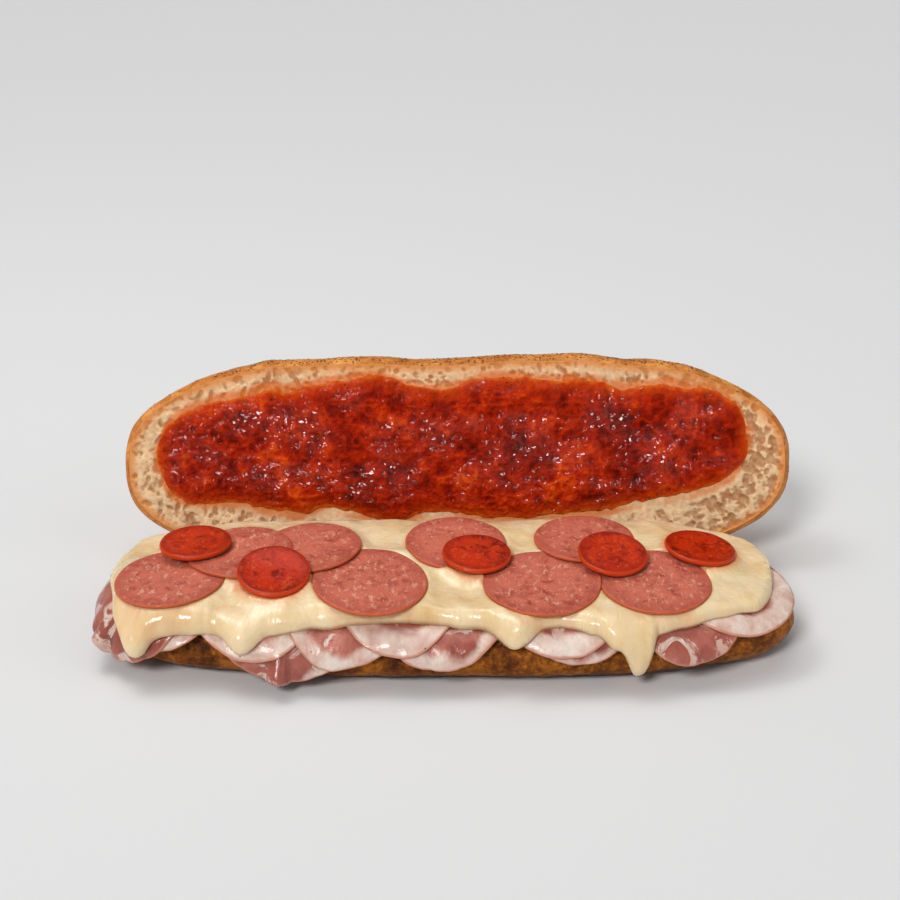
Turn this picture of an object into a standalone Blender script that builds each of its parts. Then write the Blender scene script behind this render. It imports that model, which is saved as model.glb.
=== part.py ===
"""An open submarine sandwich, built as the real one is.

A long roll is cut through. Its lower half lies on its flat underside, with thin slices of ham, a sheet of
melted cheese, slices of salami and slices of pepperoni stacked on its cut face. Its upper half stands behind it
on its long edge, leaning back, with tomato sauce spread over its cut face.

Metres, +X along the roll, -Y to the front and +Z up. The origin is the middle of the lower half's underside.

The fillings are drawn on a flattened plan of the lower half, as a cook sees it from above before anything
bends. fold_over() then bends that plan over the shoulder of the bread. The fillings are laid one by one, each on
the facets of the pieces that are already in the pile.
"""

import math

import bmesh
import bpy
import numpy as np
from mathutils import Matrix, Vector
from mathutils.bvhtree import BVHTree

# The lower half of the roll
BASE_HALF_LENGTH = 0.150
BASE_HALF_WIDTH = 0.047
BASE_CUT_HEIGHT = 0.026
CUT_SLOPE = 0.085  # the cut rises towards the back

# The upper half, which stands on its long edge
TOP_HALF_LENGTH = 0.1552
TOP_HALF_WIDTH = 0.050
TOP_LEAN = math.radians(21)
TOP_ROLL = math.radians(0.5)
TOP_CENTRE = Vector((0.0033, 0.0690, 0.0504))

# Both halves. The power sets how blunt an outline's ends are: 2 is an ellipse.
BASE_POWER = 2.8
TOP_POWER = 2.6
ROUND_COUNT = 48
# The crust from the cut edge to the underside, as (depth below the cut, how far in from the widest outline).
BASE_CRUST = [(0.0, 0.0080), (0.0010, 0.0062), (0.0040, 0.0026), (0.0080, 0.0008), (0.0125, 0.0),
              (0.0180, 0.0018), (0.0220, 0.0056), (0.0248, 0.0105), (0.0260, 0.0150)]
TOP_CRUST = [(0.0, 0.0032), (0.0030, 0.0011), (0.0085, 0.0), (0.0160, 0.0017), (0.0240, 0.0064),
             (0.0305, 0.0135), (0.0348, 0.0225), (0.0372, 0.0330), (0.0380, 0.0430)]
# Low knobs and hollows along the upper half's upper edge, as (place along the roll, height, width).
TOP_EDGE_KNOBS = [(-0.087, 0.0012, 0.006), (0.060, 0.0018, 0.012), (-0.008, -0.0016, 0.022)]
FACE_RINGS = [0.040, 0.030, 0.020]  # how far in from the outline, towards the middle of a cut face
CRUMB_RELIEF = 0.0004
CRUMB_WAVE = 0.045

# The shoulder over which the fillings bend: a round from the top of the bread down its side. Its outline is
# blunter at the ends than the bread, because the slices stand out a little there.
FOLD_POWER = 3.6
FOLD_RADIUS = 0.009
FOLD_TOP = 0.0275
FOLD_REACH = 0.0015  # how far the bent plan hangs outside the bread's widest outline
FOLD_END = math.radians(85)

# How the pieces are stacked
GAP = 0.00053
BEND_ROOM = 0.0013  # more room where facets bend over the shoulder
REACH = 0.0087  # a corner of a piece clears everything this near to it
PROBE_HEIGHT = 0.040  # the height over the bent plan from which the pile is probed
PROBES = 36
GOLDEN_ANGLE = math.radians(137.5)  # turns the probes into an even disc

# Ham, in the order laid: centre along the roll, centre across it and radius, on the flattened plan
HAM_THICKNESS = 0.0011
HAM_SLICES = [
    (0.0535, -0.0280, 0.0260), (-0.0680, -0.0345, 0.0280), (-0.0050, -0.0250, 0.0310), (0.0990, -0.0290, 0.0240),
    (-0.1190, -0.0190, 0.0265), (-0.0800, -0.0190, 0.0320), (-0.0430, -0.0275, 0.0280), (0.0460, -0.0220, 0.0300),
    (0.1185, -0.0115, 0.0290), (-0.1325, -0.0215, 0.0260), (-0.0215, -0.0235, 0.0270),
]
HAM_RUFFLE = 0.0014
HAM_RUFFLE_WAVES = 6  # round the rim
HAM_RUFFLE_FROM, HAM_RUFFLE_TO = -0.003, 0.011  # beyond the bread's outline, where the ruffles grow to full size

# Melted cheese
CHEESE_HALF_LENGTH = 0.1435
CHEESE_THICKNESS = 0.0028
CHEESE_PILE = 0.0050  # extra depth along the back
PILE_FRONT, PILE_BACK = -0.015, 0.025  # where that starts and where it is full
PILE_HALF_LENGTH, PILE_FADE = 0.135, 0.050  # and how it fades out towards the ends
CHEESE_RIM = 0.004  # the sheet thins over this width along its edge
CHEESE_RIM_SHARE = 0.45
CHEESE_BACK_INSET = 0.0045
CHEESE_STATIONS = 64
# How far the hem hangs beyond the bread's outline, as (place along the roll, distance).
CHEESE_HEM = [
    (-0.145, -0.006), (-0.138, -0.002), (-0.130, 0.0077), (-0.122, 0.003), (-0.112, -0.001), (-0.096, -0.002),
    (-0.084, 0.0028), (-0.074, -0.002), (-0.055, -0.005), (-0.030, -0.0075), (-0.008, -0.008),
    (0.011, -0.005), (0.026, 0.0010), (0.040, -0.0045), (0.050, -0.006), (0.060, -0.002), (0.0680, 0.0045),
    (0.0770, 0.0105), (0.0835, -0.0020), (0.097, -0.005), (0.113, -0.0075), (0.125, -0.009), (0.145, -0.010),
]
# Rows from the back edge to the start of the bend, then from there to the hem, as shares of the way.
CHEESE_FLAT_ROWS = [0.02, 0.16, 0.33, 0.50, 0.67, 0.84]
CHEESE_BENT_ROWS = [0, 0.33, 0.66, 0.95]

# Salami and pepperoni, in the order laid: centre along the roll, centre across it and radius
SALAMI_THICKNESS = 0.0015
SALAMI_SLICES = [
    (0.0870, -0.0175, 0.0240), (0.0390, -0.0190, 0.0250), (-0.0340, -0.0210, 0.0245), (-0.1190, -0.0170, 0.0238),
    (-0.0610, 0.0055, 0.0228), (-0.0910, 0.0015, 0.0228), (0.0025, 0.0130, 0.0222), (0.0590, 0.0165, 0.0220),
]
PEPPERONI_THICKNESS = 0.0026
PEPPERONI_SLICES = [
    (-0.1105, 0.0050, 0.0156), (-0.0745, -0.0205, 0.0155), (0.0115, -0.0010, 0.0150), (0.0700, -0.0035, 0.0152),
    (0.1092, 0.0080, 0.0158),
]
PEPPERONI_CUP = 0.0008  # how far the rim curls up
SLICE_UNEVENNESS = 0.006
HAM_UNEVENNESS = 0.015
SLICE_STIFFNESS = 0.012  # a slice of sausage stays flat this much further out than ham and cheese do

# Tomato sauce, on the upper half's cut face
SAUCE_FROM, SAUCE_TO = -0.1365, 0.1325
SAUCE_STATIONS = 46
SAUCE_FIRST_TURN = 0.1  # stations are closer together at the rounded ends
SAUCE_THICKNESS = 0.0022
SAUCE_LUMP = 0.0008
SAUCE_LUMP_WAVES = [(0.021, 0.3, 1.0), (0.012, 1.9, 0.5)]  # wavelength, direction and share
SAUCE_RIM = 0.006  # the sauce thins over this width along its edge
SAUCE_RIM_SHARE = 0.35
SAUCE_END_POWER = 4.5
# Its upper and lower edges, as (place along the roll, height over the middle of the face).
SAUCE_UPPER_EDGE = [(-0.137, 0.036), (-0.104, 0.0345), (-0.080, 0.0350), (-0.039, 0.0405), (-0.009, 0.0350),
                    (0.013, 0.0395), (0.050, 0.0375), (0.083, 0.0350), (0.092, 0.0390), (0.133, 0.038)]
SAUCE_LOWER_EDGE = [(-0.137, -0.024), (-0.100, -0.0205), (-0.075, -0.0245), (-0.062, -0.0205), (-0.028, -0.0268),
                    (-0.014, -0.0215), (0.022, -0.0262), (0.062, -0.0235), (0.090, -0.0205), (0.133, -0.025)]
SAUCE_ROWS = [0.03, 0.16, 0.33, 0.5, 0.67, 0.84, 0.97]


def even_oval(half_length, half_width, power, count):
    """Points of a superellipse at even steps along its edge, counter-clockwise from +X."""
    turn = np.linspace(0, 2 * math.pi, 40 * count + 1)
    across, along = np.sin(turn), np.cos(turn)
    x = half_length * np.sign(along) * np.abs(along) ** (2 / power)
    y = half_width * np.sign(across) * np.abs(across) ** (2 / power)
    travelled = np.append(0, np.cumsum(np.hypot(np.diff(x), np.diff(y))))
    even = np.linspace(0, travelled[-1], count + 1)[:-1]
    return np.column_stack([np.interp(even, travelled, x), np.interp(even, travelled, y)])


def eased(share):
    """Goes smoothly from 0 to 1 as the share does."""
    return (1 - np.cos(math.pi * np.clip(share, 0, 1))) / 2


def wavy(points, x):
    """A smooth wave through the points, level at each of them."""
    at, value = np.array(points).T
    x = np.clip(x, at[0], at[-1])
    left = np.clip(np.searchsorted(at, x, "right") - 1, 0, len(at) - 2)
    share = (x - at[left]) / (at[left + 1] - at[left])
    return value[left] + (value[left + 1] - value[left]) * eased(share)


def ripple(x, y, length, turn):
    """A soft uneven wave from -1 to 1 over the plan, with about this wavelength."""
    a = 2 * math.pi / length
    one = np.sin(a * (x * math.cos(turn) + y * math.sin(turn)) + 5 * turn)
    two = np.sin(1.3 * a * (x * math.sin(turn + 0.4) - y * math.cos(turn + 0.4)) + 2 * turn)
    return one * two


def closed_shell(name, rings, poles, colour, roughness):
    """One closed object from rings of as many points each, joined ring to ring. With poles, the first and last
    rings close on a middle point, and the later half of the rings is the other face. Otherwise the end rings are
    narrow loops that close from side to side, and the later half of each ring is the other face. Both faces are
    split into triangles alike."""
    count = len(rings[0])
    bm = bmesh.new()
    loops = [[bm.verts.new(point) for point in ring] for ring in rings]
    for i, (near, far) in enumerate(zip(loops, loops[1:])):
        for k in range(count):
            m = (k + 1) % count
            other_face = i >= (len(rings) - 1) / 2 if poles else k >= count / 2
            if other_face:
                bm.faces.new((near[k], far[k], near[m]))
                bm.faces.new((near[m], far[k], far[m]))
            else:
                bm.faces.new((near[k], far[k], far[m]))
                bm.faces.new((near[k], far[m], near[m]))
    for loop, first in ((loops[0], True), (loops[-1], False)):
        if poles:
            pole = bm.verts.new(np.mean([vertex.co for vertex in loop], axis=0))
            caps = [(pole, loop[k], loop[(k + 1) % count]) for k in range(count)]
        else:
            caps = [(loop[k], loop[k + 1], loop[-k]) for k in range(1, count // 2)]
            caps += [(loop[k + 1], loop[-k - 1], loop[-k]) for k in range(1, count // 2 - 1)]
            caps.append((loop[0], loop[1], loop[-1]))
        for cap in caps:
            bm.faces.new(cap if first else cap[::-1])
    bmesh.ops.recalc_face_normals(bm, faces=bm.faces)
    mesh = bpy.data.meshes.new(name)
    bm.to_mesh(mesh)
    bm.free()
    mesh.shade_smooth()
    mesh.set_sharp_from_angle(angle=math.radians(50))
    mesh.materials.append(finish(name.rstrip("_0123456789"), colour, roughness))
    thing = bpy.data.objects.new(name, mesh)
    bpy.context.scene.collection.objects.link(thing)
    return thing


def finish(name, colour, roughness):
    """The named material, made once."""
    material = bpy.data.materials.get(name)
    if material is None:
        material = bpy.data.materials.new(name)
        material.use_nodes = True
        shader = material.node_tree.nodes["Principled BSDF"]
        shader.inputs["Base Color"].default_value = (*colour, 1)
        shader.inputs["Roughness"].default_value = roughness
    return material


def half_roll_rings(half_length, half_width, power, crust, slope):
    """Rings of a half roll with its cut face up at height 0, from the middle of the face to the underside."""
    deepest = crust[-1][0]
    rings = []
    for inset in FACE_RINGS:
        plan = even_oval(half_length - inset, half_width - inset, power, ROUND_COUNT)
        relief = CRUMB_RELIEF * ripple(plan[:, 0], plan[:, 1], CRUMB_WAVE, 0.7)
        rings.append(np.column_stack([plan, relief + slope * plan[:, 1]]))
    for depth, inset in crust:
        plan = even_oval(half_length - inset, half_width - inset, power, ROUND_COUNT)
        tilt = slope * plan[:, 1] * (1 - depth / deepest)
        rings.append(np.column_stack([plan, tilt - depth]))
    return rings


def bread_base():
    """The lower half, flat underneath, with its cut face sloping up to the back."""
    rings = half_roll_rings(BASE_HALF_LENGTH, BASE_HALF_WIDTH, BASE_POWER, BASE_CRUST, CUT_SLOPE)
    inset = FACE_RINGS[0]
    inner = even_oval(BASE_HALF_LENGTH - inset, BASE_HALF_WIDTH - inset, BASE_POWER, ROUND_COUNT)
    rings.append(np.column_stack([inner, np.full(ROUND_COUNT, -BASE_CUT_HEIGHT)]))
    base = closed_shell("bun_base", rings, False, (0.55, 0.30, 0.11), 0.6)
    base.location = (0, 0, BASE_CUT_HEIGHT)
    return base


def bread_top(placed):
    """The upper half, stood on its long edge. Where it meets the table it is pressed flat."""
    rings = half_roll_rings(TOP_HALF_LENGTH, TOP_HALF_WIDTH, TOP_POWER, TOP_CRUST, 0)
    to_own, to_world = np.array(placed.inverted()), np.array(placed)
    shaped = []
    for ring in rings:
        x, y = ring[:, 0], ring[:, 1]
        for place, height, width in TOP_EDGE_KNOBS:
            upper = np.clip(y / TOP_HALF_WIDTH, 0, 1)
            y = y + height * np.exp(-(((x - place) / width) ** 2)) * upper
        own = np.column_stack([x, y, ring[:, 2], np.ones(len(x))])
        world = own @ to_world.T
        world[:, 2] = np.clip(world[:, 2], 0, None)
        shaped.append((world @ to_own.T)[:, :3])
    top = closed_shell("bun_top", shaped, False, (0.62, 0.36, 0.15), 0.6)
    top.matrix_world = placed
    return top


def tomato_sauce(top):
    """Sauce spread on the upper half's cut face, lumpy and thin at its edges."""
    middle = (SAUCE_FROM + SAUCE_TO) / 2
    half = (SAUCE_TO - SAUCE_FROM) / 2
    rings = []
    for turn in np.linspace(SAUCE_FIRST_TURN, math.pi - SAUCE_FIRST_TURN, SAUCE_STATIONS):
        x = middle - half * math.cos(turn)
        narrow = (1 - (abs(x - middle) / half) ** SAUCE_END_POWER) ** (1 / SAUCE_END_POWER)
        upper, lower = wavy(SAUCE_UPPER_EDGE, x), wavy(SAUCE_LOWER_EDGE, x)
        centre, reach = (upper + lower) / 2, (upper - lower) / 2 * narrow
        y = centre + reach - 2 * reach * np.array(SAUCE_ROWS)
        rim = np.minimum(np.array(SAUCE_ROWS), 1 - np.array(SAUCE_ROWS)) * 2 * reach
        rim = np.minimum(rim, half - abs(x - middle))
        full = np.clip(rim / SAUCE_RIM, SAUCE_RIM_SHARE, 1)
        under = CRUMB_RELIEF + GAP
        lumps = sum(share * ripple(x, y, length, way) for length, way, share in SAUCE_LUMP_WAVES)
        over = under + full * (SAUCE_THICKNESS + SAUCE_LUMP * lumps)
        upper_face = np.column_stack([np.full(len(y), x), y, over])
        lower_face = np.column_stack([np.full(len(y), x), y, np.full(len(y), under)])
        edge_height = under + SAUCE_RIM_SHARE * SAUCE_THICKNESS / 2
        edges = [(x, centre + side * reach, edge_height) for side in (1, -1)]
        rings.append(np.vstack([edges[0], upper_face, edges[1], lower_face[::-1]]))
    sauce = closed_shell("tomato_sauce", rings, False, (0.45, 0.035, 0.01), 0.25)
    sauce.parent = top


class Shoulder:
    """The outline that the fillings bend over, and where points of the plan lie beside it."""

    def __init__(self):
        self.edge = even_oval(BASE_HALF_LENGTH, BASE_HALF_WIDTH, FOLD_POWER, 720)
        along = np.roll(self.edge, -1, 0) - np.roll(self.edge, 1, 0)
        along /= np.linalg.norm(along, axis=1)[:, None]
        self.outward = np.column_stack([along[:, 1], -along[:, 0]])

    def beside(self, flat):
        """For each point: the outline's outward direction there, and how far beyond the outline it is."""
        distance = np.linalg.norm(flat[:, None] - self.edge[None], axis=2)
        nearest = distance.argmin(axis=1)
        outward = self.outward[nearest]
        return outward, ((flat - self.edge[nearest]) * outward).sum(axis=1)


SHOULDER = Shoulder()


def fold_over(flat, lift, stiffness=0.0):
    """Bends points of the flattened plan over the bread's shoulder, and lifts them off it by lift. A stiffer piece
    starts to bend this much further out."""
    outward, beyond = SHOULDER.beside(flat)
    past = beyond + FOLD_RADIUS - FOLD_REACH - stiffness
    turn = np.clip(past / FOLD_RADIUS, 0, FOLD_END)
    straight = np.clip(past - FOLD_RADIUS * FOLD_END, 0, None)
    out = FOLD_RADIUS * np.sin(turn) + straight * math.cos(FOLD_END) - np.clip(past, 0, None)
    drop = FOLD_RADIUS * (1 - np.cos(turn)) + straight * math.sin(FOLD_END)
    plan = flat + outward * (out + lift * np.sin(turn))[:, None]
    height = FOLD_TOP + CUT_SLOPE * plan[:, 1] - drop + lift * np.cos(turn)
    return np.column_stack([plan, height])


def clearance(flat):
    """The gap kept between two pieces, wider where they bend."""
    past = SHOULDER.beside(flat)[1] + FOLD_RADIUS - FOLD_REACH
    return GAP + BEND_ROOM * eased(past / FOLD_RADIUS + 0.5)


class Slice:
    """A round slice on the flattened plan."""

    stiffness = SLICE_STIFFNESS
    unevenness = SLICE_UNEVENNESS

    def __init__(self, name, place, thickness, turn):
        self.name, self.thickness, self.turn = name, thickness, turn
        self.centre, self.radius = np.array(place[:2]), place[2]

    def edge(self, angle):
        """The slice's slightly uneven radius in this direction."""
        uneven = np.sin(2 * angle + self.turn) + 0.6 * np.sin(3 * angle + 2 * self.turn)
        return self.radius * (1 + self.unevenness * uneven)

    def rise(self, flat):
        """How far the slice stands up off what it lies on."""
        return np.zeros(len(flat))

    def ring(self, share, count):
        angle = 2 * math.pi * np.arange(count) / count + self.turn
        reach = share * self.edge(angle)
        return self.centre + np.column_stack([reach * np.cos(angle), reach * np.sin(angle)])


class Ham(Slice):
    """A thin, limp slice whose hanging edge ruffles."""

    stiffness = 0.0
    unevenness = HAM_UNEVENNESS

    def rise(self, flat):
        beyond = SHOULDER.beside(flat)[1]
        hanging = eased((beyond - HAM_RUFFLE_FROM) / (HAM_RUFFLE_TO - HAM_RUFFLE_FROM))
        angle = np.arctan2(flat[:, 1] - self.centre[1], flat[:, 0] - self.centre[0])
        wave = 0.5 + 0.5 * np.sin(HAM_RUFFLE_WAVES * angle + 3 * self.turn)
        return HAM_RUFFLE * hanging * wave


class Pepperoni(Slice):
    """A thick slice whose rim has curled up."""

    def rise(self, flat):
        return PEPPERONI_CUP * (np.linalg.norm(flat - self.centre, axis=1) / self.radius) ** 2


class Pile:
    """Everything laid so far, as it is faceted."""

    def __init__(self):
        self.points, self.faces = [], []

    def add(self, thing):
        start = len(self.points)
        self.points += [thing.matrix_basis @ vertex.co for vertex in thing.data.vertices]
        self.faces += [[start + k for k in face.vertices] for face in thing.data.polygons]
        self.tree = BVHTree.FromPolygons(self.points, self.faces)

    def tops(self, flat, stiffness):
        """How high the pile reaches over the bent plan at each point."""
        plan = fold_over(flat, np.zeros(len(flat)), stiffness)
        high = fold_over(flat, np.full(len(flat), PROBE_HEIGHT), stiffness)
        found = []
        for start, end in zip(high, plan):
            whole = np.linalg.norm(end - start)
            _, _, _, depth = self.tree.ray_cast(Vector(start), Vector(end - start), whole)
            found.append(0 if depth is None else PROBE_HEIGHT * (1 - depth / whole))
        return np.array(found)

    def resting_heights(self, flat, stiffness=0.0):
        """How far over the bent plan a new piece's underside lies at each of its corners."""
        tallest = self.tops(flat, stiffness)
        for k in range(PROBES):
            angle = k * GOLDEN_ANGLE
            distance = REACH * math.sqrt((k + 1) / PROBES)
            aside = flat + distance * np.array([math.cos(angle), math.sin(angle)])
            tallest = np.maximum(tallest, self.tops(aside, stiffness))
        return tallest + clearance(flat)


def lay_slice(pile, piece, shares, count, rounded, colour, roughness):
    """A slice as a solid: its upper face out to the rim, then back under it."""
    above, below = [], []
    for share in shares:
        flat = piece.ring(share, count)
        under = pile.resting_heights(flat, piece.stiffness) + piece.rise(flat)
        above.append(fold_over(flat, under + piece.thickness, piece.stiffness))
        below.append(fold_over(flat, under, piece.stiffness))
    rim = []
    if rounded:
        flat = piece.ring(1, count)
        middle = pile.resting_heights(flat, piece.stiffness) + piece.rise(flat) + piece.thickness / 2
        rim = [fold_over(flat, middle, piece.stiffness)]
    pile.add(closed_shell(piece.name, above + rim + below[::-1], True, colour, roughness))


def cheese_edges(x):
    """The cheese's front hem and back edge across from this place along the roll, and the line at which it
    starts to bend."""
    narrow = (1 - (abs(x) / BASE_HALF_LENGTH) ** FOLD_POWER) ** (1 / FOLD_POWER)
    outline = BASE_HALF_WIDTH * narrow
    hem = -outline - float(wavy(CHEESE_HEM, x))
    back = max(outline - CHEESE_BACK_INSET, 0)
    bend = max(-outline + FOLD_RADIUS, hem + CHEESE_RIM)
    return hem, back, min(bend, (hem + back) / 2)


def melted_cheese(pile):
    """The cheese, from station to station along the roll."""
    rings = []
    for x in np.linspace(-CHEESE_HALF_LENGTH, CHEESE_HALF_LENGTH, CHEESE_STATIONS):
        hem, back, bend = cheese_edges(x)
        rows = np.append(back + np.array(CHEESE_FLAT_ROWS) * (bend - back),
                         bend + np.array(CHEESE_BENT_ROWS) * (hem - bend))
        flat = np.column_stack([np.full(len(rows), x), rows])
        inside = np.minimum.reduce([rows - hem, back - rows, np.full(len(rows), CHEESE_HALF_LENGTH - abs(x))])
        pooled = eased((rows - PILE_FRONT) / (PILE_BACK - PILE_FRONT))
        pooled *= eased((PILE_HALF_LENGTH - abs(x)) / PILE_FADE)
        depth = (CHEESE_THICKNESS + CHEESE_PILE * pooled) * np.clip(inside / CHEESE_RIM, CHEESE_RIM_SHARE, 1)
        under = pile.resting_heights(flat)
        ends = np.array([(x, back), (x, hem)])
        edges = fold_over(ends, pile.resting_heights(ends) + CHEESE_RIM_SHARE * CHEESE_THICKNESS / 2)
        over = fold_over(flat, under + depth)
        rings.append(np.vstack([edges[0], over, edges[1], fold_over(flat, under)[::-1]]))
    pile.add(closed_shell("melted_cheese", rings, False, (0.80, 0.62, 0.33), 0.4))


def fillings(base):
    """Ham, cheese, salami and pepperoni, each laid on what is already there."""
    pile = Pile()
    pile.add(base)
    for number, place in enumerate(HAM_SLICES, 1):
        ham = Ham(f"ham_slice_{number:02d}", place, HAM_THICKNESS, number)
        lay_slice(pile, ham, (0.28, 0.53, 0.77, 1.0), 20, False, (0.75, 0.45, 0.38), 0.35)
    melted_cheese(pile)
    for number, place in enumerate(SALAMI_SLICES, 1):
        salami = Slice(f"salami_slice_{number}", place, SALAMI_THICKNESS, number)
        lay_slice(pile, salami, (0.38, 0.68, 0.96), 22, True, (0.55, 0.17, 0.12), 0.45)
    for number, place in enumerate(PEPPERONI_SLICES, 1):
        pepperoni = Pepperoni(f"pepperoni_slice_{number}", place, PEPPERONI_THICKNESS, number)
        lay_slice(pile, pepperoni, (0.5, 0.94), 20, True, (0.50, 0.04, 0.015), 0.3)


def main():
    for thing in list(bpy.data.objects):
        bpy.data.objects.remove(thing)
    base = bread_base()
    stood = Matrix.Rotation(math.pi / 2 - TOP_LEAN, 4, "X") @ Matrix.Rotation(TOP_ROLL, 4, "Z")
    top = bread_top(Matrix.Translation(TOP_CENTRE) @ stood)
    tomato_sauce(top)
    fillings(base)


main()
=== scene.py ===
"""The open submarine sandwich, dressed: bread with its crumb and crust, sauce, cheese and sliced sausage."""

import itertools
import math

import bpy
import numpy as np
from mathutils import Matrix, Vector
from mathutils.bvhtree import BVHTree


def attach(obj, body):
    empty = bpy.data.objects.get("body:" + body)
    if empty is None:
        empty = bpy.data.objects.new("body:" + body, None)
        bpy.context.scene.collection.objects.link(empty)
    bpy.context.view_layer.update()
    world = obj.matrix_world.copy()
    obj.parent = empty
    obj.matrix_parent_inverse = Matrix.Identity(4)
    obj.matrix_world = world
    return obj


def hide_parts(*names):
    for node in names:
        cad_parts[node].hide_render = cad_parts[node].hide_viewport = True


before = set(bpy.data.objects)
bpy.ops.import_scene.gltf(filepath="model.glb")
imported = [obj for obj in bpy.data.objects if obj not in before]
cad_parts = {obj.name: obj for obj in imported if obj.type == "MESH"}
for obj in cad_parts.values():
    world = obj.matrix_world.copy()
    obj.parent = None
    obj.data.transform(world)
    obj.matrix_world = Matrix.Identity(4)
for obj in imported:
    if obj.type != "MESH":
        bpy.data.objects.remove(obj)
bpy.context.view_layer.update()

# Camera, at the photograph's viewing angle
CAMERA_PLACE = (0, -0.727, 0.4248)
CAMERA_PITCH = math.radians(24.78)
CAMERA_LENS = 76

# The lower half of the roll
BASE_HALF_LENGTH = 0.15
BASE_HALF_WIDTH = 0.047
BASE_CUT_HEIGHT = 0.026
CUT_SLOPE = 0.085
BASE_POWER = 2.8
BASE_CRUST = [(0.0, 0.008), (0.001, 0.0062), (0.004, 0.0026), (0.008, 0.0008), (0.0125, 0.0),
              (0.018, 0.0018), (0.022, 0.0056), (0.0248, 0.0105), (0.026, 0.015)]

# The upper half, which stands on its long edge
TOP_HALF_LENGTH = 0.1552
TOP_HALF_WIDTH = 0.05
TOP_LEAN = math.radians(21)
TOP_ROLL = math.radians(0.5)
TOP_CENTRE = Vector((0.0033, 0.069, 0.0504))
TOP_POWER = 2.6
TOP_CRUST = [(0.0, 0.0032), (0.003, 0.0011), (0.0085, 0.0), (0.016, 0.0017), (0.024, 0.0064),
             (0.0305, 0.0135), (0.0348, 0.0225), (0.0372, 0.033), (0.038, 0.043)]
# Swellings of its upper edge: place along the roll, height and width
TOP_EDGE_KNOBS = [(-0.087, 0.001, 0.006), (0.06, 0.0016, 0.012), (-0.008, -0.0016, 0.022),
                  (-0.1, 0.0032, 0.04), (0.107, 0.0036, 0.03), (0.035, 0.001, 0.03)]

# The shoulder over which the fillings bend
FOLD_POWER = 3.6
FOLD_RADIUS = 0.009
FOLD_TOP = 0.0275
FOLD_REACH = 0.0015
FOLD_END = math.radians(85)
PROBE_HEIGHT = 0.04

HAM_THICKNESS = 0.0011
# Slices on the flattened plan: place along and across the roll, and radius
HAM_SLICES = [
    (0.0535, -0.028, 0.026), (-0.068, -0.0345, 0.028), (-0.005, -0.025, 0.031), (0.099, -0.029, 0.024),
    (-0.119, -0.019, 0.0265), (-0.08, -0.019, 0.032), (-0.043, -0.0275, 0.028), (0.046, -0.022, 0.03),
    (0.1185, -0.0115, 0.029), (-0.1325, -0.0215, 0.026), (-0.0215, -0.0235, 0.027),
]
HAM_RUFFLE = 0.0014
HAM_RUFFLE_WAVES = 6
HAM_RUFFLE_FROM, HAM_RUFFLE_TO = -0.003, 0.011

CHEESE_FROM, CHEESE_TO = -0.1455, 0.1392
CHEESE_BACK_INSET = 0.0045
# How far the front hem reaches beyond the shoulder's outline, at places along the roll
CHEESE_HEM = [
    (-0.145, -0.006), (-0.138, -0.002), (-0.131, 0.003), (-0.123, 0.0005), (-0.112, -0.001),
    (-0.096, -0.0025), (-0.086, -0.001), (-0.074, -0.0025), (-0.055, -0.005), (-0.03, -0.0075),
    (-0.008, -0.008), (0.011, -0.0065), (0.026, -0.002), (0.04, -0.0055), (0.05, -0.006), (0.06, -0.003),
    (0.069, 0.0018), (0.076, 0.0042), (0.0815, 0.0038), (0.0865, -0.003), (0.097, -0.005),
    (0.113, -0.0075), (0.125, -0.009), (0.145, -0.01),
]
# Drips along the hem: place along the roll, length and half width
CHEESE_DRIPS = [(-0.132, 0.0052, 0.0084), (-0.0865, 0.004, 0.008), (0.0285, 0.0028, 0.0095),
                (0.0792, 0.009, 0.0048)]

SALAMI_THICKNESS = 0.0015
SALAMI_SLICES = [
    (0.087, -0.0175, 0.024), (0.039, -0.019, 0.025), (-0.034, -0.021, 0.0245), (-0.119, -0.017, 0.0238),
    (-0.061, 0.0055, 0.0228), (-0.091, 0.0015, 0.0228), (0.0025, 0.013, 0.0222), (0.059, 0.0165, 0.022),
]
PEPPERONI_THICKNESS = 0.0026
PEPPERONI_SLICES = [
    (-0.1105, 0.005, 0.0156), (-0.0745, -0.0205, 0.0155), (0.0115, -0.001, 0.015), (0.07, -0.0035, 0.0152),
    (0.1092, 0.008, 0.0158),
]
PEPPERONI_CUP = 0.0008
SLICE_UNEVENNESS = 0.006
HAM_UNEVENNESS = 0.015
SLICE_STIFFNESS = 0.013

SAUCE_FROM, SAUCE_TO = -0.1375, 0.1335
SAUCE_MIDDLE, SAUCE_HALF = (SAUCE_FROM + SAUCE_TO) / 2, (SAUCE_TO - SAUCE_FROM) / 2
SAUCE_END_POWER = 3.0
SAUCE_UPPER_EDGE = [(-0.137, 0.036), (-0.104, 0.0345), (-0.08, 0.035), (-0.039, 0.0405), (-0.009, 0.035),
                    (0.013, 0.0395), (0.05, 0.0375), (0.08, 0.0355), (0.098, 0.0385), (0.133, 0.042)]
SAUCE_LOWER_EDGE = [(-0.137, -0.03), (-0.1, -0.0215), (-0.075, -0.0245), (-0.062, -0.0205),
                    (-0.028, -0.0268), (-0.014, -0.0215), (0.022, -0.0262), (0.062, -0.0235),
                    (0.09, -0.0205), (0.133, -0.022)]


# Numbers and fields

def even_oval(half_length, half_width, power, count):
    """Points of a superellipse at even steps along its edge, counter-clockwise from +X."""
    turn = np.linspace(0, 2 * math.pi, 40 * count + 1)
    across, along = np.sin(turn), np.cos(turn)
    x = half_length * np.sign(along) * np.abs(along) ** (2 / power)
    y = half_width * np.sign(across) * np.abs(across) ** (2 / power)
    travelled = np.append(0, np.cumsum(np.hypot(np.diff(x), np.diff(y))))
    even = np.linspace(0, travelled[-1], count + 1)[:-1]
    return np.column_stack([np.interp(even, travelled, x), np.interp(even, travelled, y)])


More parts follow.
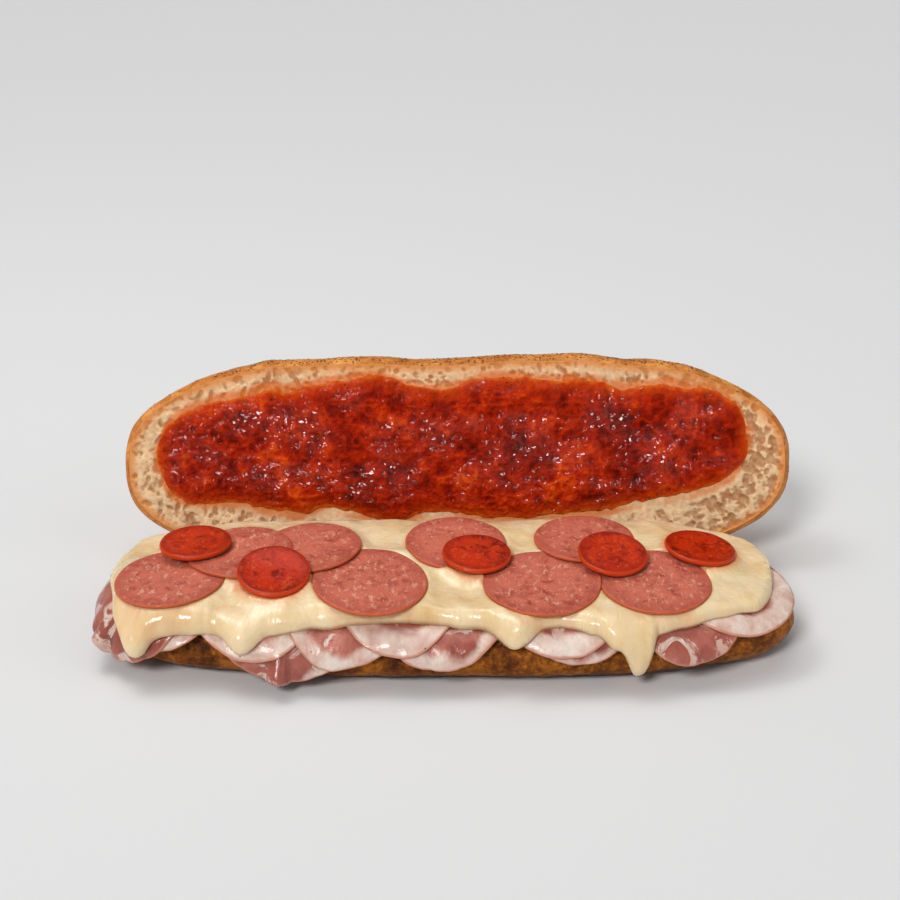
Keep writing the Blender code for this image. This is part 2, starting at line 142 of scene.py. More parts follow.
def eased(share):
    """Goes smoothly from 0 to 1 as the share does."""
    return (1 - np.cos(math.pi * np.clip(share, 0, 1))) / 2


def wavy(points, x):
    """A smooth wave through the points, level at each of them."""
    at, value = np.array(points).T
    x = np.clip(x, at[0], at[-1])
    left = np.clip(np.searchsorted(at, x, "right") - 1, 0, len(at) - 2)
    share = (x - at[left]) / (at[left + 1] - at[left])
    return value[left] + (value[left + 1] - value[left]) * eased(share)


def lumps(points, size, seed):
    """Smooth random relief from -1 to 1 in space, with lumps of about this size."""
    table = np.random.default_rng(seed).uniform(-1, 1, (33, 33, 33))[:32, :32, :32]
    place = np.asarray(points) / size + 500.5
    cell = np.floor(place).astype(int)
    share = place - cell
    share = share * share * (3 - 2 * share)
    total = 0
    for corner in range(8):
        step = np.array([corner & 1, corner >> 1 & 1, corner >> 2])
        weight = np.prod(np.where(step, share, 1 - share), axis=1)
        at = (cell + step) % 32
        total = total + weight * table[at[:, 0], at[:, 1], at[:, 2]]
    return total


def flat_lumps(x, y, size, seed):
    shape = np.shape(x)
    points = np.column_stack([np.ravel(x), np.ravel(y), np.zeros(np.size(x))])
    return lumps(points, size, seed).reshape(shape)


def blurred(field, inside, reach, rounds):
    """The field blurred within its footprint."""
    weight = inside.astype(float)
    field = np.where(inside, field, 0) * weight
    for _ in range(rounds):
        for axis in (0, 1):
            for thing in (field, weight):
                summed = np.cumsum(np.concatenate([np.zeros_like(thing.take([0], axis)), np.pad(
                    thing, [(reach, reach) if k == axis else (0, 0) for k in (0, 1)])], axis), axis)
                size = thing.shape[axis]
                ends = summed.take(range(2 * reach + 1, 2 * reach + 1 + size), axis)
                thing[...] = (ends - summed.take(range(size), axis)) / (2 * reach + 1)
    return field / np.maximum(weight, 1e-9)


def draped(tops, inside, reach, rounds):
    """How a sheet lies on this relief: it touches the highest places and spans between them."""
    sheet = tops
    for _ in range(rounds):
        sheet = np.maximum(tops, blurred(sheet, inside, reach, 1))
    return sheet


class Grid:
    """An even grid of places, from which fields are read at any point."""

    def __init__(self, low, high, cell):
        self.low, self.cell = np.array(low), cell
        self.x = np.arange(low[0], high[0] + cell, cell)
        self.y = np.arange(low[1], high[1] + cell, cell)
        self.along, self.across = np.meshgrid(self.x, self.y, indexing="ij")
        self.flat = np.column_stack([self.along.ravel(), self.across.ravel()])

    def shaped(self, values):
        return np.asarray(values).reshape(self.along.shape)

    def read(self, field, points):
        place = (points - self.low) / self.cell
        cell = np.clip(np.floor(place).astype(int), 0, np.array(field.shape) - 2)
        a, b = np.clip(place - cell, 0, 1).T
        i, j = cell.T
        near = field[i, j] * (1 - a) + field[i + 1, j] * a
        far = field[i, j + 1] * (1 - a) + field[i + 1, j + 1] * a
        return near * (1 - b) + far * b


# The bend of the fillings over the shoulder of the bread

class Shoulder:
    """The outline that the fillings bend over, and where points of the plan lie beside it."""

    def __init__(self):
        edge = even_oval(BASE_HALF_LENGTH, BASE_HALF_WIDTH, FOLD_POWER, 720)
        along = np.roll(edge, -1, 0) - np.roll(edge, 1, 0)
        along /= np.linalg.norm(along, axis=1)[:, None]
        outward = np.column_stack([along[:, 1], -along[:, 0]])
        self.grid = Grid((-0.2, -0.1), (0.2, 0.1), 0.001)
        fields = []
        for part in np.array_split(self.grid.flat, 60):
            nearest = np.linalg.norm(part[:, None] - edge[None], axis=2).argmin(axis=1)
            way = outward[nearest]
            fields.append(np.column_stack([way, ((part - edge[nearest]) * way).sum(axis=1)]))
        fields = np.vstack(fields)
        self.fields = [self.grid.shaped(fields[:, k]) for k in range(3)]

    def beside(self, flat):
        """For each point: the outline's outward direction there, and how far beyond the outline it is."""
        along, across, beyond = (self.grid.read(field, flat) for field in self.fields)
        length = np.maximum(np.hypot(along, across), 1e-6)
        return np.column_stack([along / length, across / length]), beyond


shoulder = Shoulder()


def fold_over(flat, lift, stiffness=0.0):
    """Bends points of the flattened plan over the bread's shoulder, and lifts them off it by lift."""
    outward, beyond = shoulder.beside(flat)
    past = beyond + FOLD_RADIUS - FOLD_REACH - stiffness
    turn = np.clip(past / FOLD_RADIUS, 0, FOLD_END)
    straight = np.clip(past - FOLD_RADIUS * FOLD_END, 0, None)
    out = FOLD_RADIUS * np.sin(turn) + straight * math.cos(FOLD_END) - np.clip(past, 0, None)
    drop = FOLD_RADIUS * (1 - np.cos(turn)) + straight * math.sin(FOLD_END)
    plan = flat + outward * (out + lift * np.sin(turn))[:, None]
    height = FOLD_TOP + CUT_SLOPE * plan[:, 1] - drop + lift * np.cos(turn)
    return np.column_stack([plan, height])


class Pile:
    """Everything laid so far, probed by rays."""

    def __init__(self):
        self.layers = []

    def add(self, points, faces):
        points = np.asarray(points)
        tree = BVHTree.FromPolygons(points.tolist(), faces)
        self.layers.append((points.min(axis=0) - 0.002, points.max(axis=0) + 0.002, tree))

    def tops(self, flat, stiffness=0.0):
        """How high the pile reaches over the bent plan at each point."""
        plan = fold_over(flat, np.zeros(len(flat)), stiffness)
        high = fold_over(flat, np.full(len(flat), PROBE_HEIGHT), stiffness)
        low, top = np.minimum(plan, high), np.maximum(plan, high)
        found = np.zeros(len(flat))
        for start, end, tree in self.layers:
            for k in np.flatnonzero(((low <= end) & (top >= start)).all(axis=1)):
                whole = float(np.linalg.norm(plan[k] - high[k]))
                depth = tree.ray_cast(Vector(high[k]), Vector(plan[k] - high[k]), whole)[3]
                if depth is not None:
                    found[k] = max(found[k], PROBE_HEIGHT * (1 - depth / whole))
        return found


# Meshes

def strip_faces(rows, count, closed):
    """Quads between rows of as many points each."""
    first = np.arange(rows - 1)[:, None] * count
    k = np.arange(count if closed else count - 1)[None]
    m = (k + 1) % count
    corners = [first + k, first + m, first + m + count, first + k + count]
    return np.stack(corners, axis=-1).reshape(-1, 4).tolist()


def capped_faces(rows, count):
    """Quads between closed rows, and fans from the first and the last row to the two points that follow."""
    faces = strip_faces(rows, count, True)
    middle, last = rows * count, (rows - 1) * count
    for k in range(count):
        m = (k + 1) % count
        faces += [[middle, m, k], [middle + 1, last + k, last + m]]
    return faces


def tube_faces(rows, count):
    """Quads between closed rows, and a face over each end."""
    last = (rows - 1) * count
    return strip_faces(rows, count, True) + [list(range(count))[::-1], list(range(last, last + count))]


def carried_round(over, at):
    """A field on the upper side of a sheet, followed by that of the rows below it."""
    return np.concatenate([over, over[:, at]], axis=1)


def added(name, data):
    """A new object in the scene."""
    thing = bpy.data.objects.new(name, data)
    bpy.context.scene.collection.objects.link(thing)
    return thing


def piece(name, points, faces, material, node, fields):
    """An object of quads that stands for a CAD node, with fields kept on its points for its material."""
    mesh = bpy.data.meshes.new(name)
    mesh.from_pydata(np.asarray(points).tolist(), [], faces)
    mesh.shade_smooth()
    for field, values in fields.items():
        values = np.asarray(values, dtype=np.float32)
        kind = "FLOAT" if values.ndim == 1 else "FLOAT_VECTOR"
        attribute = mesh.attributes.new(field, kind, "POINT")
        attribute.data.foreach_set("value" if kind == "FLOAT" else "vector", values.ravel())
    mesh.materials.append(material)
    thing = added(name, mesh)
    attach(thing, "root")
    if node:
        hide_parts(node)
    return thing


# Materials

def linear(red, green, blue):
    """A colour as Blender's shaders take it, from the 0 to 255 of a screen."""
    parts = np.array([red, green, blue]) / 255
    return (*np.where(parts <= 0.04045, parts / 12.92, ((parts + 0.055) / 1.055) ** 2.4), 1)


class Finish:
    """A material whose nodes are added one by one."""

    def __init__(self, name):
        self.material = bpy.data.materials.new(name)
        self.material.use_nodes = True
        self.nodes, self.links = self.material.node_tree.nodes, self.material.node_tree.links
        self.shader = self.nodes["Principled BSDF"]

    def node(self, kind, inputs, output=0, **settings):
        made = self.nodes.new(kind)
        for name, value in settings.items():
            setattr(made, name, value)
        self.feed(made, inputs)
        return made.outputs[output]

    def feed(self, node, inputs):
        for name, value in inputs.items():
            if isinstance(value, bpy.types.NodeSocket):
                self.links.new(value, node.inputs[name])
            else:
                node.inputs[name].default_value = value

    def set(self, **inputs):
        self.feed(self.shader, {name.replace("_", " "): value for name, value in inputs.items()})

    def field(self, name):
        return self.node("ShaderNodeAttribute", {}, "Fac", attribute_name=name)

    def place(self, name):
        return self.node("ShaderNodeAttribute", {}, "Vector", attribute_name=name)

    def stretched(self, vector, factors):
        return self.node("ShaderNodeVectorMath", {0: vector, 1: factors}, operation="MULTIPLY")

    def noise(self, vector, size, detail=3.0, roughness=0.55, distortion=0.0):
        """Noise with lumps of about this size, in metres."""
        return self.node("ShaderNodeTexNoise", {"Vector": vector, "Scale": 0.6 / size, "Detail": detail,
                                                "Roughness": roughness, "Distortion": distortion})

    def cells(self, vector, size, feature="F1"):
        inputs = {"Vector": vector, "Scale": 1 / size}
        return self.node("ShaderNodeTexVoronoi", inputs, "Distance", feature=feature)

    def number(self, operation, a, b=0.0, c=0.0):
        return self.node("ShaderNodeMath", {0: a, 1: b, 2: c}, operation=operation)

    def times(self, a, b):
        return self.number("MULTIPLY", a, b)

    def plus(self, a, b):
        return self.number("ADD", a, b)

    def scaled(self, value, factor, more):
        """The value times the factor, and more added to it."""
        return self.number("MULTIPLY_ADD", value, factor, more)

    def step(self, value, low, high, start=0.0, end=1.0):
        """Goes smoothly from start to end as the value goes from low to high."""
        inputs = {"Value": value, "From Min": low, "From Max": high, "To Min": start, "To Max": end}
        return self.node("ShaderNodeMapRange", inputs, interpolation_type="SMOOTHSTEP")

    def mix(self, share, first, second):
        """The first colour, with this share of the second."""
        made = self.nodes.new("ShaderNodeMix")
        made.data_type = "RGBA"
        for socket, value in ((made.inputs[0], share), (made.inputs[6], first), (made.inputs[7], second)):
            if isinstance(value, bpy.types.NodeSocket):
                self.links.new(value, socket)
            else:
                socket.default_value = value
        return made.outputs[2]

    def ramp(self, value, stops):
        made = self.nodes.new("ShaderNodeValToRGB")
        ramp = made.color_ramp
        for _ in stops[2:]:
            ramp.elements.new(0.5)
        for element, (at, colour) in zip(ramp.elements, sorted(stops)):
            element.position, element.color = at, linear(*colour)
        self.links.new(value, made.inputs[0])
        return made.outputs[0]

    def bump(self, height, distance, strength):
        return self.node("ShaderNodeBump", {"Height": height, "Distance": distance, "Strength": strength})

    def radial(self, local):
        """How far out a point of a slice is, as a share of its radius there."""
        return self.node("ShaderNodeVectorMath", {0: self.stretched(local, (1, 1, 0))}, "Value",
                         operation="LENGTH")

    def specked(self, colour, place, spacing, size, patch, dense, tint):
        """Specks of this colour, in patches."""
        specks = self.step(self.cells(place, spacing), *size, 1, 0)
        some = self.step(self.noise(place, patch, 2), *dense)
        return self.mix(self.times(specks, some), colour, linear(*tint))


def plain(name, colour, roughness):
    made = Finish(name)
    made.set(Base_Color=linear(*colour), Roughness=roughness)
    return made.material


def bread_finish(name, crumb, crust, dark):
    """Crumb on the cut face with painted shade in its holes, and a browned crust with painted shade towards
    its underside.
    """
    made = Finish(name)
    place = made.node("ShaderNodeTexCoord", {}, "Object")
    along, hole, stain = made.field("along"), made.field("hole"), made.field("stain")
    patches = made.noise(place, 0.016, 4)
    grain = made.noise(place, 0.0022, 4, 0.6)
    walls = made.cells(place, 0.0021, "SMOOTH_F1")
    fine = made.cells(place, 0.001, "F1")
    colour = made.ramp(made.scaled(grain, 0.6, made.times(patches, 0.4)), [
        (0.3, tuple(0.8 * c for c in crumb)), (0.7, crumb), (0.52, tuple(0.93 * c for c in crumb))])
    shade = made.step(walls, 0.62, 0.15, 0.0, 0.42)
    colour = made.mix(shade, colour, linear(208, 154, 108))
    # Painted shade in the crumb's pores: the deeper a hole, the darker its colour.
    painted_pore_shade = made.step(hole, 0.00004, 0.0006)
    painted_pore_shade = made.times(painted_pore_shade, made.step(grain, 0.38, 0.62, 0.5, 0.92))
    colour = made.mix(painted_pore_shade, colour, linear(172, 114, 70))
    soaked = made.step(made.scaled(made.noise(place, 0.0048, 4), 1.1, stain), 0.8, 1.5, 0.0, 0.75)
    colour = made.mix(soaked, colour, linear(216, 108, 34))
    golden = made.step(made.scaled(grain, 0.0022, along), -0.0042, 0.0009)
    colour = made.mix(made.times(golden, 0.85), colour, linear(219, 138, 66))
    baked = made.ramp(made.scaled(made.noise(place, 0.009, 5, 0.65), 0.65,
                                  made.times(made.noise(place, 0.0016, 4, 0.7), 0.42)), [
        (0.41, dark), (0.64, crust), (0.53, tuple((a + b) / 2 for a, b in zip(crust, dark)))])
    # Painted shade: the crust is coloured darker towards its underside, further from the cut face.
    lower = made.step(along, 0.004, 0.02, 0.0, 0.4)
    baked = made.mix(lower, baked, linear(*dark))
    baked = made.specked(baked, place, 0.0026, (0.11, 0.16), 0.006, (0.5, 0.6), (62, 36, 20))
    crusty = made.step(made.scaled(grain, 0.0009, along), 0.00005, 0.001)
    colour = made.mix(crusty, colour, baked)
    rough = made.step(crusty, 0.0, 1.0, 0.85, 0.5)
    crumb_height = made.plus(made.times(walls, 0.3), made.times(fine, 0.2))
    crust_height = made.plus(made.noise(place, 0.0014, 4, 0.65), made.noise(place, 0.0042, 4, 0.6, 0.6))
    height = made.node("ShaderNodeMix", {0: crusty, 2: crumb_height, 3: crust_height}, data_type="FLOAT")
    made.set(Base_Color=colour, Roughness=rough, Normal=made.bump(height, 0.001, 0.9),
             Specular_IOR_Level=0.14, Subsurface_Weight=made.step(crusty, 0.0, 0.6, 0.3, 0.0),
             Subsurface_Radius=(0.004, 0.002, 0.001), Subsurface_Scale=0.6)
    return made.material


def sauce_finish():
    made = Finish("tomato_sauce")
    own, rim, grain = made.place("own"), made.field("rim"), made.field("grain")
    pulp = made.noise(own, 0.0034, 4, 0.6, 0.4)
    patches = made.noise(own, 0.02, 3)
    blend = made.scaled(grain, 260.0, made.scaled(pulp, 0.7, made.times(patches, 0.55)))
    colour = made.ramp(blend, [(0.3, (74, 7, 0)), (0.55, (134, 19, 0)), (0.75, (176, 37, 2)),
                               (0.92, (212, 72, 8))])
    uneven = made.scaled(pulp, 0.006, rim)
    colour = made.mix(made.step(uneven, 0.003, 0.01, 0.7, 0.0), colour, linear(196, 62, 8))
    colour = made.mix(made.step(uneven, 0.0018, 0.0052, 0.9, 0.0), colour, linear(218, 104, 28))
    colour = made.specked(colour, own, 0.0021, (0.12, 0.2), 0.005, (0.5, 0.58), (52, 18, 8))
    height = made.plus(made.noise(own, 0.0013, 3, 0.6, 0.5),
                       made.times(made.cells(own, 0.0016, "SMOOTH_F1"), 0.7))
    slanting = made.node("ShaderNodeMapping",
                         {"Vector": own, "Rotation": (0, 0, -0.75), "Scale": (0.6, 1.1, 1)})
    wet = made.times(made.step(made.noise(slanting, 0.01, 3), 0.42, 0.62, 0.02, 0.8),
                     made.step(rim, 0.003, 0.012, 0.35, 1.0))
    film = made.plus(made.noise(slanting, 0.0032, 1, 0.4),
                     made.times(made.noise(slanting, 0.0013, 1, 0.4), 0.28))
    made.set(Base_Color=colour, Roughness=0.5, Normal=made.bump(height, 0.001, 0.9), Specular_IOR_Level=0.04,
             Subsurface_Weight=0.05, Subsurface_Radius=(0.003, 0.0006, 0.0003), Subsurface_Scale=0.5,
             Coat_Weight=wet, Coat_Roughness=0.05, Coat_Normal=made.bump(film, 0.0028, 1.0))
    return made.material


def cheese_finish():
    made = Finish("melted_cheese")
    own, oil, thick = made.place("own"), made.field("oil"), made.field("thick")
    clouds = made.noise(own, 0.012, 4, 0.55, 0.6)
    streaks = made.noise(made.stretched(own, (1.0, 0.8, 1.0)), 0.0046, 3)
    colour = made.ramp(made.scaled(clouds, 0.75, made.times(streaks, 0.25)), [
        (0.32, (220, 182, 126)), (0.66, (240, 218, 178)), (0.48, (232, 204, 158))])
    oiled = made.step(made.scaled(made.noise(own, 0.003, 3), 0.5, oil), 0.62, 1.45, 0.0, 0.75)
    colour = made.mix(oiled, colour, linear(226, 132, 70))
    thin = made.step(thick, 0.0012, 0.0026, 0.28, 0.0)
    colour = made.mix(thin, colour, linear(230, 190, 152))
    toasted = made.step(made.noise(own, 0.0075, 5, 0.65), 0.6, 0.76, 0.0, 0.25)
    colour = made.mix(toasted, colour, linear(226, 174, 100))
    height = made.plus(made.noise(own, 0.0045, 3), made.times(made.noise(own, 0.0013, 2), 0.15))
    made.set(Base_Color=colour, Roughness=made.step(clouds, 0.35, 0.65, 0.16, 0.3),
             Normal=made.bump(height, 0.0013, 0.7), Subsurface_Weight=0.26,
             Subsurface_Radius=(0.006, 0.0035, 0.0015), Subsurface_Scale=0.7, Coat_Weight=0.2,
             Coat_Roughness=0.08)
    return made.material


def ham_finish():
    made = Finish("ham_slice")
    local, own = made.place("local"), made.place("own")
    radial = made.radial(local)
    warp = made.noise(own, 0.011, 4, 0.55, 0.5)
    band = made.plus(made.field("fat"), made.scaled(warp, 0.5, radial))
    muscle = made.scaled(made.noise(own, 0.0045, 4, 0.6), 0.35, made.times(made.noise(own, 0.018, 3), 0.75))
    lean = made.ramp(muscle, [(0.36, (122, 56, 46)), (0.72, (200, 128, 110)), (0.54, (164, 88, 74))])
    fat = made.ramp(made.noise(own, 0.006, 4, 0.6), [(0.35, (200, 156, 140)), (0.65, (230, 213, 200))])
    fatty = made.step(band, 1.0, 1.12)
    lace = made.step(made.noise(own, 0.0085, 5, 0.62, 1.2), 0.545, 0.6)
    fatty = made.number("MAXIMUM", fatty, made.times(lace, 0.85))
    colour = made.mix(fatty, lean, fat)
    rim = made.step(made.scaled(made.noise(own, 0.002, 2), 0.03, radial), 0.972, 0.998)
    colour = made.mix(made.times(rim, 0.75), colour, linear(204, 126, 96))
    colour = made.specked(colour, own, 0.0026, (0.09, 0.15), 0.007, (0.55, 0.62), (92, 58, 44))
    height = made.plus(made.noise(own, 0.003, 4, 0.6), made.times(fatty, 0.2))
    made.set(Base_Color=colour, Roughness=made.step(warp, 0.3, 0.7, 0.18, 0.34),
             Normal=made.bump(height, 0.0008, 0.8), Specular_IOR_Level=0.4, Subsurface_Weight=0.16,
             Subsurface_Radius=(0.004, 0.0015, 0.001), Subsurface_Scale=0.5, Coat_Weight=0.2,
             Coat_Roughness=0.08)
    return made.material


def sausage_finish(name, base, dark, pale, rim_colour, rim_from, fleck, gloss, film):
    """Minced sausage: a mottled face with pale flecks, and a darker, glossier rim."""
    made = Finish(name)
    local, own = made.place("local"), made.place("own")
    radial = made.radial(local)
    mince = made.noise(own, 0.003, 4, 0.65, 0.8)
    broad = made.noise(own, 0.012, 3)
    colour = made.ramp(made.scaled(mince, 0.7, made.times(broad, 0.3)), [
        (0.36, dark), (0.64, tuple(min(255, 1.06 * c) for c in base)), (0.5, base)])
    upright = made.stretched(own, (1.0, 0.6, 1.0))
    flecks = made.step(made.noise(upright, 0.0013, 3, 0.6), 0.56, 0.66)
    colour = made.mix(made.times(flecks, fleck), colour, linear(*pale))
    small = made.step(made.cells(upright, 0.0015), 0.14, 0.28, 1.0, 0.0)
    colour = made.mix(made.times(small, 0.6 * fleck), colour, linear(*pale))
    specks = made.step(made.cells(upright, 0.0052), 0.05, 0.085, 1.0, 0.0)
    colour = made.mix(made.times(specks, 0.8), colour, linear(92, 30, 24))
    ring = made.step(made.scaled(mince, 0.25, radial), rim_from - 0.16, rim_from + 0.08, 0.0, 0.4)
    colour = made.mix(ring, colour, linear(*dark))
    rim = made.step(made.scaled(made.noise(own, 0.0016, 2), 0.02, radial), rim_from, rim_from + 0.045)
    colour = made.mix(made.times(rim, 0.85), colour, linear(*rim_colour))
    height = made.plus(mince, made.times(flecks, 0.25))
    low, high = gloss
    made.set(Base_Color=colour, Roughness=made.step(made.noise(own, 0.004, 3), 0.35, 0.65, low, high),
             Normal=made.bump(height, 0.0004, 0.8), Specular_IOR_Level=0.18, Subsurface_Weight=0.12,
             Subsurface_Radius=(0.003, 0.001, 0.0006), Subsurface_Scale=0.5, Coat_Weight=film,
             Coat_Roughness=0.07)
    return made.material


# Bread

def bread_rings(half_length, half_width, power, crust, slope, count, step, crust_step):
    """Rings of a half roll with its cut face up at height 0, from inside the cut face to the underside, with
    each ring's depth below the cut and its distance in from the outline."""
    profile = np.array(crust)
    travelled = np.append(0, np.cumsum(np.hypot(*np.diff(profile, axis=0).T)))
    even = np.arange(0, travelled[-1], crust_step)
    depth, inset = rounded_profile(profile, travelled, even)
    first = inset[0]
    face = np.arange(first + FACE_WIDTH, first, -step)
    rings = []
    for into in face:
        plan = even_oval(half_length - into, half_width - into, power, count)
        rings.append((plan, slope * plan[:, 1], np.full(count, first - into)))
    deepest = profile[-1, 0]
    for down, into, along in zip(depth, inset, even):
        plan = even_oval(half_length - into, half_width - into, power, count)
        rings.append((plan, slope * plan[:, 1] * (1 - down / deepest) - down, np.full(count, along)))
    return rings


def rounded_profile(profile, travelled, even):
    """The crust's profile as a smooth curve."""
    fine = np.linspace(0, travelled[-1], 800)
    result = []
    for k in (0, 1):
        line = np.interp(fine, travelled, profile[:, k])
        kernel = np.hanning(61)
        padded = np.pad(line, 30, mode="reflect", reflect_type="odd")
        result.append(np.interp(even, fine, np.convolve(padded, kernel / kernel.sum(), "valid")))
    return result


FACE_WIDTH = 0.022


class Pores:
    """The holes of the crumb over a cut face, as a field of depths."""

    def __init__(self, half_length, half_width, power, count, seed):
        random = np.random.default_rng(seed)
        outline = even_oval(half_length, half_width, power, 4000)
        self.grid = Grid((-half_length, -half_width), (half_length, half_width), 0.0003)
        self.depth = np.zeros(self.grid.along.shape)
        for _ in range(count):
            inset = random.uniform(0.001, FACE_WIDTH)
            x, y = outline[random.integers(len(outline))]
            x, y = x * (1 - inset / half_length), y * (1 - inset / half_width)
            coarse = 1 + 0.5 * float(eased((x - 0.085) / 0.045))
            size = (0.00026 + 0.0011 * random.random() ** 5) * coarse
            longer = random.uniform(1.0, 2.8 / coarse)
            tilt = math.atan2(y, x) + math.pi / 2 + random.normal(0, 0.7)
            self.press(x, y, size, longer, tilt)

    def press(self, x, y, size, longer, tilt):
        reach = size * longer * 1.2
        low = np.clip(((np.array([x, y]) - reach - self.grid.low) / self.grid.cell).astype(int), 0, None)
        high = ((np.array([x, y]) + reach - self.grid.low) / self.grid.cell).astype(int) + 2
        at = slice(low[0], high[0]), slice(low[1], high[1])
        if self.depth[at].size == 0:
            return
        dx, dy = self.grid.along[at] - x, self.grid.across[at] - y
        a = (dx * math.cos(tilt) + dy * math.sin(tilt)) / (size * longer)
        b = (dy * math.cos(tilt) - dx * math.sin(tilt)) / size
        hole = np.sqrt(np.clip(1 - (a * a + b * b), 0, None))
        self.depth[at] = np.maximum(self.depth[at], 0.7 * size * hole)


def bread_half(name, half_length, half_width, power, crust, slope, count, pores, shape, stained, material,
               seed, node):
    """One half of the roll, with the holes of its crumb pressed into the cut face."""
    rings = bread_rings(half_length, half_width, power, crust, slope, count, 0.0006, 0.0016)
    points, along, hole = [], [], []
    for plan, height, travelled in rings:
        own = np.column_stack([plan, height])
        depth = np.zeros(count)
        if (travelled < 0.0002).all():
            depth = pores.grid.read(pores.depth, plan) * eased(-travelled / 0.0012)
        own[:, 2] += 0.0003 * lumps(own, 0.006, seed) * eased(-travelled / 0.004) - depth
        points.append(own)
        along.append(travelled)
        hole.append(depth)
    points, along, hole = np.vstack(points), np.concatenate(along), np.concatenate(hole)
    rough = 0.0005 * lumps(points, 0.014, seed + 1) + 0.0002 * lumps(points, 0.004, seed + 2)
    outward = np.column_stack([points[:, :2] / [half_length, half_width], points[:, 2] / crust[-1][0]])
    outward /= np.linalg.norm(outward, axis=1)[:, None] + 1e-9
    stain = np.append(stained(points) * (along < 0.001), [0, 0])
    points = shape(points + outward * (rough * eased((along + 0.002) / 0.006))[:, None])
    faces = capped_faces(len(rings), count)
    points = np.vstack([points, points[:count].mean(axis=0), points[-count:].mean(axis=0)])
    along = np.append(along, [-FACE_WIDTH, along.max()])
    hole = np.append(hole, [0, 0])
    thing = piece(name, points, faces, material, node, {"along": along, "hole": hole, "stain": stain})
    return thing, points, faces


def base_shape(points):
    world = points + [0, 0, BASE_CUT_HEIGHT]
    world[:, 2] = np.clip(world[:, 2], 0, None)
    return world


TOP_PLACED = np.array(Matrix.Translation(TOP_CENTRE) @ Matrix.Rotation(math.pi / 2 - TOP_LEAN, 4, "X")
                      @ Matrix.Rotation(TOP_ROLL, 4, "Z"))


def top_shape(points):
    """Knobs along the upper edge, and the lean."""
    x, y = points[:, 0], points[:, 1].copy()
    for place, height, width in TOP_EDGE_KNOBS:
        y += height * np.exp(-(((x - place) / width) ** 2)) * np.clip(y / TOP_HALF_WIDTH, 0, 1)
    world = np.column_stack([x, y, points[:, 2]]) @ TOP_PLACED[:3, :3].T + TOP_PLACED[:3, 3]
    world[:, 2] = np.clip(world[:, 2], 0, None)
    return world


# Sauce

def rounded_edge(distance, radius):
    """How full a soft sheet is near its edge."""
    return np.sqrt(np.clip(1 - (1 - np.clip(distance / radius, 0, 1)) ** 2, 0, 1))


def sauce_outline(x):
    """The sauce's middle and its half height, at places along the roll."""
    narrow = (1 - (np.abs(x - SAUCE_MIDDLE) / SAUCE_HALF) ** SAUCE_END_POWER) ** (1 / SAUCE_END_POWER)
    upper, lower = wavy(SAUCE_UPPER_EDGE, x), wavy(SAUCE_LOWER_EDGE, x)
    return (upper + lower) / 2, (upper - lower) / 2 * narrow


def tomato_sauce(material):
    """Sauce spread on the upper half's cut face, lumpy and thin at its edges."""
    stations, rows, under_rows = 420, 120, 6
    even = np.linspace(-1, 1, stations)
    x = SAUCE_MIDDLE + SAUCE_HALF * np.sign(even) * (1 - (1 - np.abs(even)) ** 1.25) * 0.9998
    centre, reach = sauce_outline(x)
    share = np.linspace(0, 1, rows)
    y = centre[:, None] + reach[:, None] * (1 - 2 * share[None])
    xs = np.repeat(x[:, None], rows, axis=1)
    inside = np.minimum(share, 1 - share)[None] * 2 * reach[:, None]
    inside = np.minimum(inside, SAUCE_HALF - np.abs(xs - SAUCE_MIDDLE))
    nearby = np.clip(1 - inside / 0.012, 0, 1)
    stray_x = (0.0018 * flat_lumps(xs, y, 0.01, 31) + 0.0003 * flat_lumps(xs, y, 0.0028, 32)) * nearby
    stray_y = (0.0018 * flat_lumps(xs, y, 0.009, 33) + 0.0008 * flat_lumps(xs, y, 0.0028, 34)) * nearby
    grain = (0.00045 * flat_lumps(xs, y, 0.011, 35) + 0.0005 * flat_lumps(xs, y, 0.0046, 36)
             + 0.0005 * (0.6 - 2 * np.abs(flat_lumps(xs, y, 0.003, 37)))
             + 0.0003 * flat_lumps(xs, y, 0.0016, 38))
    over = 0.0019 * eased(inside / 0.009) ** 0.7 + grain * eased(inside / 0.004) + 0.0003 * np.clip(
        inside / 0.0006, -1, 1)
    top = np.stack([xs + stray_x, y + stray_y, over], axis=2)
    at = np.round(np.linspace(1, 0, under_rows) * (rows - 1)).astype(int)
    loops = carried_round(top, at)
    loops[:, rows:, 2] = -0.0006
    points = loops.reshape(-1, 3)
    fields = {"rim": carried_round(inside, at).ravel(), "grain": carried_round(grain, at).ravel(),
              "own": points}
    faces = tube_faces(stations, rows + under_rows)
    return piece("tomato_sauce_spread", top_shape(points), faces, material, "tomato_sauce", fields)


# Slices

def edge_places(angle, level):
    """Places on a circle, so that relief read there goes round an edge without a seam."""
    return np.column_stack([np.cos(angle), np.sin(angle), np.full(len(angle), level)])


